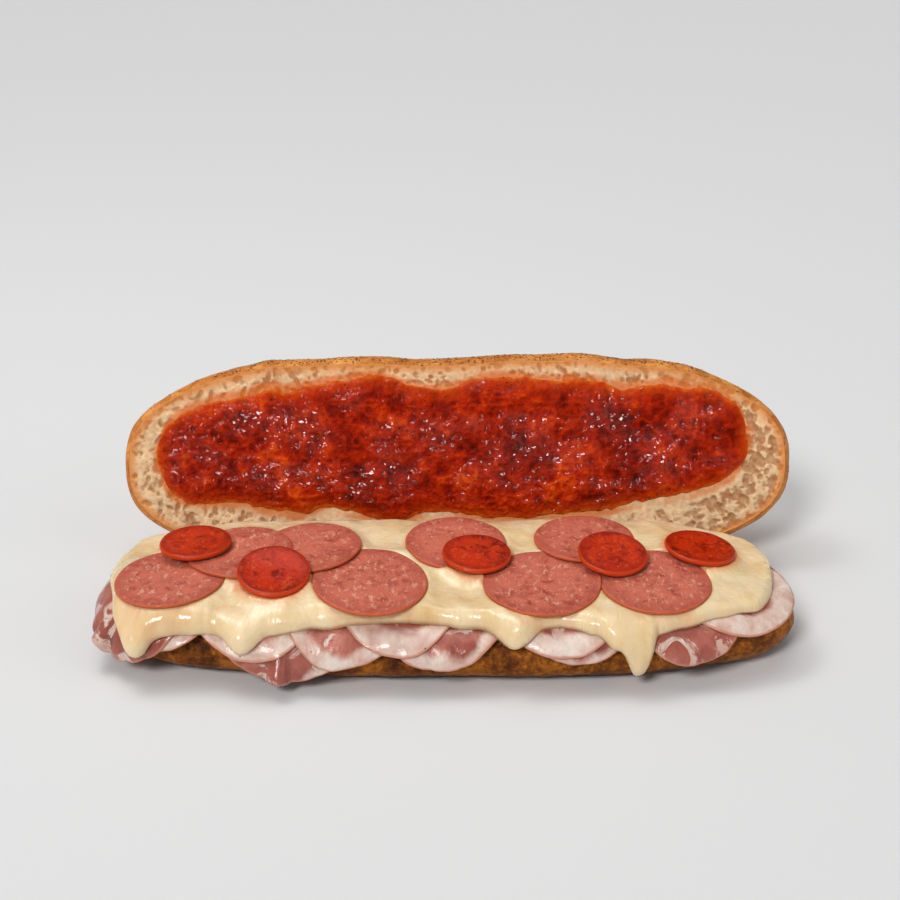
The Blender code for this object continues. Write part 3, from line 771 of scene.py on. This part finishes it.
class Slice:
    """A round slice on the flattened plan."""

    stiffness = SLICE_STIFFNESS
    unevenness = SLICE_UNEVENNESS
    thickness = SALAMI_THICKNESS
    rings, count, edge_rings = 24, 112, 4
    cell, reach, rounds = 0.001, 2, 40
    contact, give = 98, 0.25
    gap = 0.0002
    fatter = {}

    def __init__(self, name, place, number):
        self.name, self.turn = name, number
        self.centre, self.radius = np.array(place[:2]), place[2]

    def edge(self, angle):
        uneven = np.sin(2 * angle + self.turn) + 0.6 * np.sin(3 * angle + 2 * self.turn)
        around = edge_places(angle, 3.7 * self.turn)
        fine = 0.006 * lumps(around, 0.35, 51) + 0.003 * lumps(around, 0.12, 52)
        return self.radius * (1 + self.unevenness * uneven + fine)

    def rise(self, flat):
        return np.zeros(len(flat))

    def rest(self, grid, tops, inside):
        """The plane that a stiff slice comes to rest on, and a little give towards what lies under it."""
        x, y, z = grid.along[inside], grid.across[inside], tops[inside]
        best = None
        for along in np.linspace(-0.16, 0.16, 33):
            for across in np.linspace(-0.16, 0.16, 33):
                level = np.percentile(z - along * x - across * y, self.contact)
                space = np.abs(level + along * x + across * y - z).mean()
                if best is None or space < best[0]:
                    best = space, level, along, across
        plane = best[1] + best[2] * grid.along + best[3] * grid.across
        loose = draped(tops, inside, self.reach, self.rounds)
        sheet = plane + self.give * (loose - plane)
        for _ in range(3):
            sheet = np.maximum(blurred(sheet, inside, 2, 1), tops)
        return blurred(sheet, inside, 1, 1)

    def lay(self, pile, material):
        """Builds the slice where it comes to rest on the pile, and adds it to the pile."""
        size = self.radius * 1.06
        grid = Grid(self.centre - size, self.centre + size, self.cell)
        inside = np.hypot(grid.along - self.centre[0], grid.across - self.centre[1]) <= self.radius * 1.04
        tops = grid.shaped(pile.tops(grid.flat, self.stiffness))
        rest = self.rest(grid, tops, inside) + self.gap
        angle = 2 * math.pi * np.arange(self.count) / self.count + self.turn
        around = np.column_stack([np.cos(angle), np.sin(angle)])
        edge = self.edge(angle)[:, None]
        radius = self.thickness / 2
        points, local = [], []
        for share in np.linspace(0, 1, self.rings + 1)[1:]:
            points.append((around * (edge - radius) * share, self.thickness))
        for turn in np.linspace(0, math.pi, self.edge_rings + 2)[1:-1]:
            out, lift = radius * math.sin(turn), radius + radius * math.cos(turn)
            points.append((around * (edge - radius + out), lift))
        for share in np.linspace(1, 0, self.rings // 3 + 1)[:-1]:
            points.append((around * (edge - radius) * share, 0))
        shaped = []
        for own, lift in points:
            flat = self.centre + own
            shaped.append(fold_over(flat, grid.read(rest, flat) + self.rise(flat) + lift, self.stiffness))
            local.append(np.column_stack([own / edge, np.full(len(own), lift / self.thickness)]))
        faces = capped_faces(len(shaped), self.count)
        centres = np.array([self.centre])
        flat_middle = grid.read(rest, centres) + self.rise(centres)
        shaped.append(fold_over(centres, flat_middle + self.thickness, self.stiffness))
        shaped.append(fold_over(centres, flat_middle, self.stiffness))
        local += [np.array([[0, 0, 1.0]]), np.array([[0, 0, 0.0]])]
        points, local = np.vstack(shaped), np.vstack(local)
        own = local * self.radius + [0, 0, self.turn * 0.1]
        fat = np.full(len(points), self.fatter.get(self.turn, 0))
        fields = {"local": local, "own": own, "fat": fat}
        piece(f"{self.name}_cut", points, faces, material, self.name, fields)
        pile.add(points, faces)


class Ham(Slice):
    """A thin, limp slice whose hanging edge ruffles."""

    stiffness = 0.0
    unevenness = HAM_UNEVENNESS
    thickness = HAM_THICKNESS
    rings, count, edge_rings = 34, 150, 3
    reach, rounds = 1, 14
    gap = 0.0001
    # Folds of single slices: direction from the middle in degrees, width in degrees, and height
    folds = {1: [(-75, 12, 0.001), (-120, 12, 0.0008)], 2: [(-99, 12, 0.0068), (-74, 10, 0.0014)],
             3: [(-112, 13, 0.0046), (-84, 10, 0.0026), (-60, 12, 0.0012)],
             4: [(-62, 12, 0.001), (-118, 14, 0.0012)],
             5: [(-70, 14, 0.001), (-105, 12, 0.0008)], 6: [(-100, 12, 0.0008)], 9: [(-38, 14, 0.001)],
             10: [(-152, 13, 0.0056), (-178, 11, 0.0034), (-120, 11, 0.004)], 11: [(-75, 12, 0.0008)]}
    # How much more fat than usual a slice has
    fatter = {1: -0.08, 2: -0.14, 3: -0.04, 4: -0.18, 5: 0.03, 8: 0.1, 9: 0.14, 10: -0.18, 11: 0.08}

    def rest(self, grid, tops, inside):
        loose = draped(tops, inside, self.reach, self.rounds)
        return np.maximum(blurred(loose, inside, 1, 2), tops)

    def edge(self, angle):
        around = edge_places(angle, 2.3 * self.turn)
        return super().edge(angle) * (1 + 0.025 * lumps(around, 0.6, 53) + 0.01 * lumps(around, 0.22, 55))

    def rise(self, flat):
        beyond = shoulder.beside(flat)[1]
        hanging = eased((beyond - HAM_RUFFLE_FROM) / (HAM_RUFFLE_TO - HAM_RUFFLE_FROM))
        angle = np.arctan2(flat[:, 1] - self.centre[1], flat[:, 0] - self.centre[0])
        around = edge_places(angle, 1.9 * self.turn)
        wave = 0.5 + 0.35 * np.sin(HAM_RUFFLE_WAVES * angle + 3 * self.turn) + 0.5 * lumps(around, 0.22, 54)
        fine = 0.0005 * flat_lumps(flat[:, 0], flat[:, 1], 0.0055, 56 + self.turn)
        high = HAM_RUFFLE * np.clip(wave, 0, None) + fine
        spread = np.clip(np.linalg.norm(flat - self.centre, axis=1) / self.radius, 0, 1)
        for way, width, height in self.folds.get(self.turn, []):
            off = (np.degrees(angle) - way + 180) % 360 - 180
            tube = np.sqrt(np.clip(1 - (off / width) ** 2, 0, 1))
            high = high + height * tube * (1 - 0.6 * eased((spread - 0.8) / 0.2))
        return np.clip(high, 0, None) * hanging * spread


class Pepperoni(Slice):
    """A thick slice whose rim has curled up."""

    thickness = PEPPERONI_THICKNESS
    rings, count, edge_rings = 18, 96, 6
    contact, give = 99, 0.0

    def rise(self, flat):
        return PEPPERONI_CUP * (np.linalg.norm(flat - self.centre, axis=1) / self.radius) ** 2


# Cheese

def cheese_outline(x):
    """The cheese's front hem and back edge at places along the roll."""
    narrow = (1 - (np.abs(x) / BASE_HALF_LENGTH) ** FOLD_POWER) ** (1 / FOLD_POWER)
    outline = BASE_HALF_WIDTH * narrow
    stray = 0.0009 * flat_lumps(x, 0 * x, 0.006, 61)
    hem = -outline - wavy(CHEESE_HEM, x) + stray
    for place, length, half_width in CHEESE_DRIPS:
        hem = hem - length * np.exp(-np.abs((x - place) / half_width) ** 2.8)
    back = np.maximum(outline - CHEESE_BACK_INSET, 0) + stray
    return hem, back


class Cheese:
    """The cheese, draped over the ham, with a rounded hem and drips."""

    stations, rows, under_rows = 400, 120, 24

    def __init__(self, pile):
        self.grid = Grid((-0.151, -0.07), (0.151, 0.048), 0.001)
        middle, half = (CHEESE_FROM + CHEESE_TO) / 2, (CHEESE_TO - CHEESE_FROM) / 2
        even = np.linspace(-1, 1, self.stations)
        self.x = middle + half * np.sign(even) * (1 - (1 - np.abs(even)) ** 1.1)
        hem, back = cheese_outline(self.x)
        ends = 0.25 + 0.75 * rounded_edge(half - np.abs(self.x - middle), 0.01)
        centre = (hem + back) / 2
        self.hem, self.back = centre + (hem - centre) * ends, centre + (back - centre) * ends
        hem, back = np.interp(self.grid.x, self.x, self.hem), np.interp(self.grid.x, self.x, self.back)
        across = self.grid.across
        self.covered = (across > hem[:, None] - 0.0015) & (across < back[:, None] + 0.0015)
        self.under = draped(self.grid.shaped(pile.tops(self.grid.flat)), self.covered, 1, 26) + 0.0001
        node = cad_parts["melted_cheese"]
        corners = [node.matrix_world @ v.co for v in node.data.vertices]
        solid = Pile()
        solid.add(corners, [list(f.vertices) for f in node.data.polygons])
        target = self.grid.shaped(solid.tops(self.grid.flat))
        found = self.covered & (target > 0)
        depth = np.clip(np.where(found, target - self.under, 0.002), 0.0012, 0.0105)
        depth = blurred(depth, self.covered, 4, 3)
        pressed = np.zeros_like(depth)
        for place in SALAMI_SLICES + PEPPERONI_SLICES:
            distance = np.hypot(self.grid.along - place[0], across - place[1])
            pressed = np.maximum(pressed, eased((place[2] - distance) / 0.003 + 0.5))
        ridges = 1 - 2 * np.abs(flat_lumps(self.grid.along + 0.4 * across, across, 0.0105, 66))
        relief = (0.0009 * flat_lumps(self.grid.along, across, 0.028, 67)
                  + 0.0005 * flat_lumps(self.grid.along, across, 0.017, 63)
                  + 0.0004 * flat_lumps(self.grid.along, across, 0.0075, 64)
                  + 0.0004 * ridges) * (1 - pressed)
        self.depth = np.maximum(depth - 0.0005 * pressed + relief, 0.0009)

    def as_laid(self):
        """The cheese's top as a coarse sheet, for slices to be laid on."""
        points = fold_over(self.grid.flat, (self.under + self.depth).ravel())
        rows, count = self.grid.along.shape
        faces = strip_faces(rows, count, False)
        keep = self.covered.ravel()
        return points, [face for face in faces if keep[face].all()]

    def fill(self, slices):
        """Raises the cheese to the underside of what lies on it, and round its edge."""
        flat = self.grid.flat
        low = fold_over(flat, self.under.ravel())
        way = fold_over(flat, np.full(len(flat), PROBE_HEIGHT)) - fold_over(flat, np.zeros(len(flat)))
        reach = np.full(len(flat), np.inf)
        for start, end, tree in slices.layers:
            near = ((low[:, :2] <= end[:2] + 0.004) & (low[:, :2] >= start[:2] - 0.004)).all(axis=1)
            for k in np.flatnonzero(near):
                whole = float(np.linalg.norm(way[k]))
                depth = tree.ray_cast(Vector(low[k]), Vector(way[k]), whole)[3]
                if depth is not None:
                    reach[k] = min(reach[k], PROBE_HEIGHT * depth / whole)
        room = self.grid.shaped(reach)
        under_slice = np.isfinite(room)
        wanted = np.where(under_slice, np.clip(room - 0.0003 - self.depth, 0, 0.004), 0)
        spread = wanted.copy()
        for _ in range(2):
            for axis in (0, 1):
                for shift in (-1, 1):
                    spread = np.maximum(spread, np.roll(spread, shift, axis))
        spread = blurred(spread, self.covered, 2, 2)
        spread = np.where(under_slice, np.clip(spread, wanted, wanted + 0.0002), spread)
        raised = self.depth + spread
        most = np.maximum(room - 0.0002, self.depth * 0.6)
        self.depth = np.where(under_slice, np.minimum(raised, most), raised)

    def spread(self, material):
        """Builds the cheese as one sheet with a thick, rounded rim."""
        x, hem, back = self.x, self.hem, self.back
        share = np.linspace(0, 1, self.rows)
        y = back[:, None] + (hem - back)[:, None] * share[None]
        xs = np.repeat(x[:, None], self.rows, axis=1)
        flat = np.column_stack([xs.ravel(), y.ravel()])
        edge = np.vstack([np.column_stack([x, hem]), np.column_stack([x, back])[::-1]])
        edge = np.vstack([edge, edge[:1]])
        fine = np.linspace(0, len(edge) - 1, 3 * len(edge))
        edge = np.column_stack([np.interp(fine, np.arange(len(edge)), edge[:, k]) for k in (0, 1)])
        inside = np.concatenate([np.linalg.norm(part[:, None] - edge[None], axis=2).min(axis=1)
                                 for part in np.array_split(flat, 200)]).reshape(y.shape)
        low = self.grid.read(self.under, flat).reshape(y.shape)
        full = self.grid.read(self.depth, flat).reshape(y.shape)
        bead = 0
        for place, _, _ in CHEESE_DRIPS:
            tip = np.interp(place, x, hem) + 0.0036
            bead = bead + 0.0013 * np.exp(-((xs - place) ** 2 + (y - tip) ** 2) / 0.0042 ** 2)
        fine_relief = 0.00003 * flat_lumps(xs, y, 0.0022, 65)
        profile = blurred(rounded_edge(inside, 0.0032), np.ones_like(inside, bool), 1, 3)
        profile = profile * rounded_edge(inside, 0.0007)
        over = low + (full + fine_relief + bead) * (0.1 + 0.9 * profile)
        top = fold_over(flat, over.ravel()).reshape(*y.shape, 3)
        at = np.round(np.linspace(1, 0, self.under_rows) * (self.rows - 1)).astype(int)
        below = fold_over(flat, low.ravel()).reshape(*y.shape, 3)[:, at]
        points = np.concatenate([top, below], axis=1).reshape(-1, 3)
        faces = tube_faces(self.stations, self.rows + self.under_rows)
        oil = np.zeros(len(flat))
        for places, strength, width in ((PEPPERONI_SLICES, 1.0, 0.0035), (SALAMI_SLICES, 0.62, 0.0026)):
            for place in places:
                distance = np.linalg.norm(flat - place[:2], axis=1) - place[2]
                oil = np.maximum(oil, strength * np.exp(-(np.clip(distance, 0, None) / width) ** 2))
        oil = oil.reshape(y.shape)
        plan = np.dstack([xs, y, np.zeros_like(y)])
        thick = (full + bead) * profile
        fields = {"oil": carried_round(oil, at).ravel(), "thick": carried_round(thick, at).ravel(),
                  "own": carried_round(plan, at).reshape(-1, 3)}
        piece("melted_cheese_sheet", points, faces, material, "melted_cheese", fields)


# Specks

def scatter(name, places, normals, sizes, material, seed):
    """Many small uneven grains as one mesh, half sunk at these places."""
    random = np.random.default_rng(seed)
    ratio = (1 + math.sqrt(5)) / 2
    corners = np.array([np.roll((a, b, 0), shift) for shift in range(3) for b in (ratio, -ratio)
                        for a in (-1, 1)]) / math.hypot(1, ratio)
    sides = []
    for i, j, k in itertools.combinations(range(12), 3):
        a, b, c = corners[[i, j, k]]
        if max(np.linalg.norm(a - b), np.linalg.norm(b - c), np.linalg.norm(c - a)) < 1.1:
            sides.append((i, j, k) if np.cross(a, b) @ c > 0 else (k, j, i))
    points, faces = [], []
    for place, normal, size in zip(places, normals, sizes):
        normal = normal / np.linalg.norm(normal)
        aside = np.cross(normal, random.normal(size=3))
        aside /= np.linalg.norm(aside)
        other = np.cross(normal, aside)
        uneven = random.uniform(0.75, 1.2, (12, 1))
        shape = corners * uneven * [size, size * random.uniform(0.5, 0.9), size * 0.45]
        start = 12 * len(points)
        points.append(place + shape @ np.array([aside, other, normal]))
        faces += [[start + k for k in side] for side in sides]
    return piece(name, np.vstack(points), faces, material, None, {})


def specks_on(name, points, faces, weight, count, sizes, material, seed):
    """Grains at random places on the quads of a mesh, more where the points' weight is larger."""
    random = np.random.default_rng(seed)
    quads = np.array([face for face in faces if len(face) == 4])
    normals = np.cross(points[quads[:, 2]] - points[quads[:, 0]], points[quads[:, 3]] - points[quads[:, 1]])
    area = np.linalg.norm(normals, axis=1)
    chance = weight[quads].mean(axis=1) * area
    chosen = random.choice(len(quads), count, p=chance / chance.sum())
    a, b = random.random((2, count, 1))
    corners = points[quads[chosen]]
    places = ((corners[:, 0] * (1 - a) + corners[:, 1] * a) * (1 - b)
              + (corners[:, 3] * (1 - a) + corners[:, 2] * a) * b)
    normals = normals[chosen] / area[chosen, None]
    size = random.uniform(sizes[0], sizes[1], count) * random.uniform(0.6, 1, count)
    return scatter(name, places + normals * size[:, None] * 0.1, normals, size, material, seed)


# The whole

def sauce_nearby(points):
    """1 under the sauce, fading out over the crumb round it."""
    x = np.clip(points[:, 0], SAUCE_FROM + 1e-4, SAUCE_TO - 1e-4)
    centre, reach = sauce_outline(x)
    beyond = np.maximum(np.abs(points[:, 1] - centre) - reach, 0)
    beyond = np.hypot(beyond, points[:, 0] - x)
    return np.exp(-((beyond / 0.004) ** 2))


# The lower half gets darker crumb and crust colours than the upper half: painted shade, as it lies low under
# the fillings and the upper half.
shaded_base_finish = bread_finish("bun_base", (232, 194, 150), (212, 124, 28), (68, 28, 3))
top_finish = bread_finish("bun_top", (255, 218, 172), (238, 162, 84), (178, 98, 32))
_, base_points, base_faces = bread_half(
    "bun_base_loaf", BASE_HALF_LENGTH, BASE_HALF_WIDTH, BASE_POWER, BASE_CRUST, CUT_SLOPE, 900,
    Pores(BASE_HALF_LENGTH, BASE_HALF_WIDTH, BASE_POWER, 1500, 11), base_shape,
    lambda points: np.zeros(len(points)), shaded_base_finish, 21, "bun_base")
loaf, top_points, top_faces = bread_half(
    "bun_top_loaf", TOP_HALF_LENGTH, TOP_HALF_WIDTH, TOP_POWER, TOP_CRUST, 0, 1200,
    Pores(TOP_HALF_LENGTH, TOP_HALF_WIDTH, TOP_POWER, 6500, 12), top_shape, sauce_nearby, top_finish,
    24, "bun_top")
sauce = tomato_sauce(sauce_finish())

pile = Pile()
pile.add(base_points, base_faces)
ham_look = ham_finish()
for number, place in enumerate(HAM_SLICES, 1):
    Ham(f"ham_slice_{number:02d}", place, number).lay(pile, ham_look)
cheese = Cheese(pile)
pile.add(*cheese.as_laid())
below = len(pile.layers)
salami_look = sausage_finish("salami_slice", (197, 105, 84), (162, 66, 54), (228, 170, 142), (204, 96, 50),
                             0.965, 0.6, (0.26, 0.42), 0.1)
for number, place in enumerate(SALAMI_SLICES, 1):
    Slice(f"salami_slice_{number}", place, number).lay(pile, salami_look)
pepperoni_look = sausage_finish("pepperoni_slice", (188, 44, 9), (116, 13, 3), (222, 92, 38), (208, 64, 9),
                                0.945, 0.36, (0.08, 0.2), 0.12)
for number, place in enumerate(PEPPERONI_SLICES, 1):
    Pepperoni(f"pepperoni_slice_{number}", place, number).lay(pile, pepperoni_look)
slices = Pile()
slices.layers = pile.layers[below:]
cheese.fill(slices)
cheese.spread(cheese_finish())

dark_speck = plain("dark_speck", (58, 36, 22), 0.6)
herb = plain("herb_speck", (38, 26, 12), 0.5)
along = np.array([value.value for value in loaf.data.attributes["along"].data])
upper = 0.12 + (top_points[:, 2] > 0.07) + 5.0 * (top_points[:, 2] > 0.087)
specks_on("bun_top_specks", top_points, top_faces, (along > 0.0014) * upper, 2200, (0.0003, 0.0008),
          dark_speck, 71)
crusty = (base_points[:, 2] < 0.0225) & (base_points[:, 2] > 0.002)
specks_on("bun_base_specks", base_points, base_faces, crusty * 1.0, 1000, (0.00018, 0.00048), dark_speck, 72)
sauce_points = np.array([v.co for v in sauce.data.vertices])
rim = np.array([value.value for value in sauce.data.attributes["rim"].data])
sauce_faces = [list(f.vertices) for f in sauce.data.polygons]
height = ((sauce_points - TOP_PLACED[:3, 3]) @ TOP_PLACED[:3, :3])[:, 2]
specks_on("sauce_herbs", sauce_points, sauce_faces, ((rim > 0.002) & (height > 0.0004)) * 1.0, 420,
          (0.0002, 0.0006), herb, 73)


# Stage, light and camera

def stage():
    mesh = bpy.data.meshes.new("floor")
    corners = [(-4, -4, -0.0005), (4, -4, -0.0005), (4, 4, -0.0005), (-4, 4, -0.0005)]
    mesh.from_pydata(corners, [], [(0, 1, 2, 3)])
    mesh.materials.append(plain("pale_floor", (226, 226, 226), 0.8))
    added("floor", mesh)


def soft_light(name, place, size, power):
    light = bpy.data.lights.new(name, "AREA")
    light.shape = "RECTANGLE"
    light.size, light.size_y = size
    light.energy = power
    thing = added(name, light)
    thing.location = place
    thing.rotation_euler = (Vector((0, 0.02, 0.03)) - Vector(place)).to_track_quat("-Z", "Y").to_euler()


def far_light(name, towards, power, angle):
    light = bpy.data.lights.new(name, "SUN")
    light.energy, light.angle = power, math.radians(angle)
    added(name, light).rotation_euler = Vector(towards).to_track_quat("Z", "Y").to_euler()


stage()
soft_light("key", (-0.35, 0.1, 0.9), (0.3, 0.3), 1.5)
far_light("above", (-0.2, 0.15, 0.95), 0.82, 50)
far_light("front", (-0.32, -0.7, 0.64), 1.7, 15)
far_light("side", (0.8, -0.35, 0.48), 0.32, 45)
world = bpy.data.worlds.new("studio")
world.use_nodes = True
world.node_tree.nodes["Background"].inputs["Color"].default_value = (1, 1, 1, 1)
world.node_tree.nodes["Background"].inputs["Strength"].default_value = 0.22
bpy.context.scene.world = world
bpy.context.scene.view_settings.view_transform = "Standard"

camera = bpy.data.cameras.new("camera")
camera.lens = CAMERA_LENS
camera.clip_start = 0.01
eye = added("camera", camera)
eye.location = CAMERA_PLACE
eye.rotation_euler = (math.pi / 2 - CAMERA_PITCH, 0, 0)
bpy.context.scene.camera = eye
